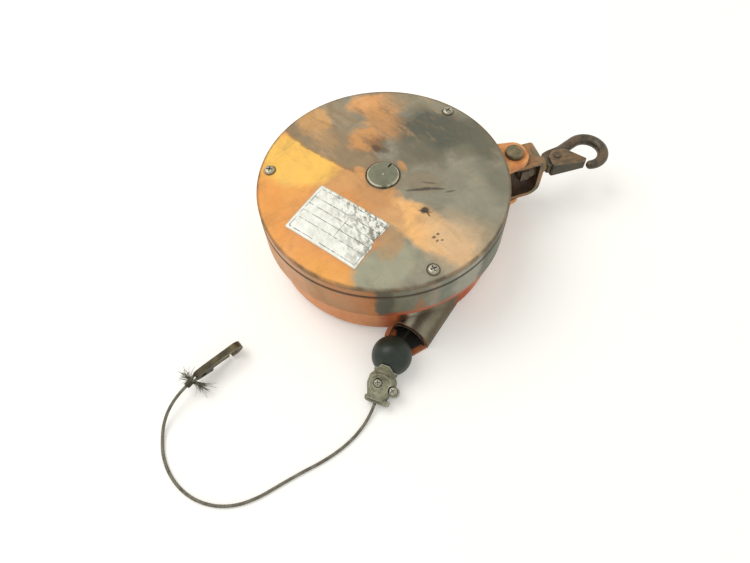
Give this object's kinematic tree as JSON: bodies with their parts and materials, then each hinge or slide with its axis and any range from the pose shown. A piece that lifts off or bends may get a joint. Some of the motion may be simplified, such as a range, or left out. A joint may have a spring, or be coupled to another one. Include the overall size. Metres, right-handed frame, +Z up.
{
  "type": "spring tool balancer",
  "caption": "Round spring tool balancer lying cover up: suspension yoke with swivel snap hook, wire rope out of a guide, stop ball, rope clamp and small end hook.",
  "frame": {"origin": "on the rest plane, under the drum's axis", "axes": "+Z up along the drum's axis, from the back to the cover; +X from the drum's axis to the suspension pin; +Y completes the right-handed frame"},
  "size_m": [0.3379, 0.2293, 0.0682],
  "materials": {
    "housing_paint": "worn enamel",
    "cover_paint": "worn enamel",
    "gasket": "matt",
    "bare_steel": "aged",
    "label_foil": "brushed, printed lines left off",
    "bronze": "plain bearing",
    "drum_cast": "as cast",
    "spring_steel": "blued",
    "guide_plastic": "matt black",
    "rope_wire": "dull, greasy",
    "ball_rubber": "satin",
    "zinc_cast": "dull die casting",
    "hook_steel": "forged, rusty",
    "yoke_steel": "worn to brown",
    "gate_sheet": "rusty",
    "end_hook_steel": "tarnished"
  },
  "bodies": {
    "housing": {"housing": "housing_paint", "guide_liner": "guide_plastic", "cover_gasket": "gasket", "cover": "cover_paint", "cover_screws": "bare_steel", "label_plate": "label_foil", "cover_bush": "bronze", "base_bush": "bronze", "suspension_pin": "yoke_steel", "pin_ring": "spring_steel"},
    "drum": {"rope_drum": "drum_cast", "drum_bush_lower": "bronze", "drum_bush_upper": "bronze", "rope_turns": "rope_wire", "mainspring": "spring_steel", "spring_cover": "bare_steel", "spring_cover_screws": "bare_steel"},
    "shaft": {"spring_shaft": "bare_steel", "shaft_cap": "bare_steel", "wheel_key": "bare_steel", "worm_wheel": "bronze"},
    "worm": {"worm_shaft": "bare_steel", "worm_clip": "spring_steel"},
    "yoke": {"yoke": "yoke_steel"},
    "hook": {"hook": "hook_steel", "swivel_nut": "hook_steel", "swivel_washers": "hook_steel", "gate_rivet": "hook_steel"},
    "hook_gate": {"hook_gate": "gate_sheet", "gate_spring": "spring_steel"},
    "rope": {"rope_lead": "rope_wire", "stop_ball": "ball_rubber", "clamp_upper": "zinc_cast", "clamp_lower": "zinc_cast", "clamp_screws": "bare_steel", "wire_rope": "rope_wire", "rope_ferrule": "end_hook_steel", "rope_loop": "rope_wire"},
    "end_hook": {"end_hook": "end_hook_steel", "end_hook_rivet": "end_hook_steel"},
    "end_gate": {"end_hook_gate": "end_hook_steel"}
  },
  "joints": [
    {"name": "drum_spin", "type": "hinge", "parent": "housing", "child": "drum", "pos_m": [0, 0, 0], "axis": [0, 0, -1], "range_deg": [0, 56], "stiffness_Nm_per_rad": 0.2, "springref_deg": -85.94},
    {"name": "cable_pull", "type": "slide", "parent": "housing", "child": "rope", "axis": [-0.7799, -0.6259, 0], "range_m": [0, 0.056]},
    {"name": "worm_turn", "type": "hinge", "parent": "housing", "child": "worm", "pos_m": [-0.02241, -0.006, 0.0569], "axis": [-0.2588, 0.9659, 0], "continuous": true},
    {"name": "shaft_turn", "type": "hinge", "parent": "housing", "child": "shaft", "pos_m": [0, 0, 0], "axis": [0, 0, 1], "continuous": true},
    {"name": "yoke_pivot", "type": "hinge", "parent": "housing", "child": "yoke", "pos_m": [0.091, 0, 0.0345], "axis": [0, 0, 1], "range_deg": [-90, 90]},
    {"name": "hook_swivel", "type": "hinge", "parent": "yoke", "child": "hook", "pos_m": [0.1097, 0, 0.0345], "axis": [1, 0, 0], "continuous": true},
    {"name": "hook_gate_hinge", "type": "hinge", "parent": "hook", "child": "hook_gate", "pos_m": [0.1255, 0, 0.0345], "axis": [0, 0, 1], "range_deg": [0, 30], "stiffness_Nm_per_rad": 0.02, "springref_deg": -22.92},
    {"name": "end_hook_swing", "type": "hinge", "parent": "rope", "child": "end_hook", "pos_m": [-0.1443, -0.0673, 0.009], "axis": [0, 0, 1], "range_deg": [-25, 25]},
    {"name": "end_gate_hinge", "type": "hinge", "parent": "end_hook", "child": "end_gate", "pos_m": [-0.13639, -0.06293, 0.00536], "axis": [0.3815, -0.8922, -0.2415], "range_deg": [0, 20], "stiffness_Nm_per_rad": 0.002, "springref_deg": -22.92}
  ],
  "couplings": [
    {"joint": "cable_pull", "follows": "drum_spin", "m_per_rad": 0.056959},
    {"joint": "worm_turn", "follows": "shaft_turn", "ratio": 40}
  ]
}
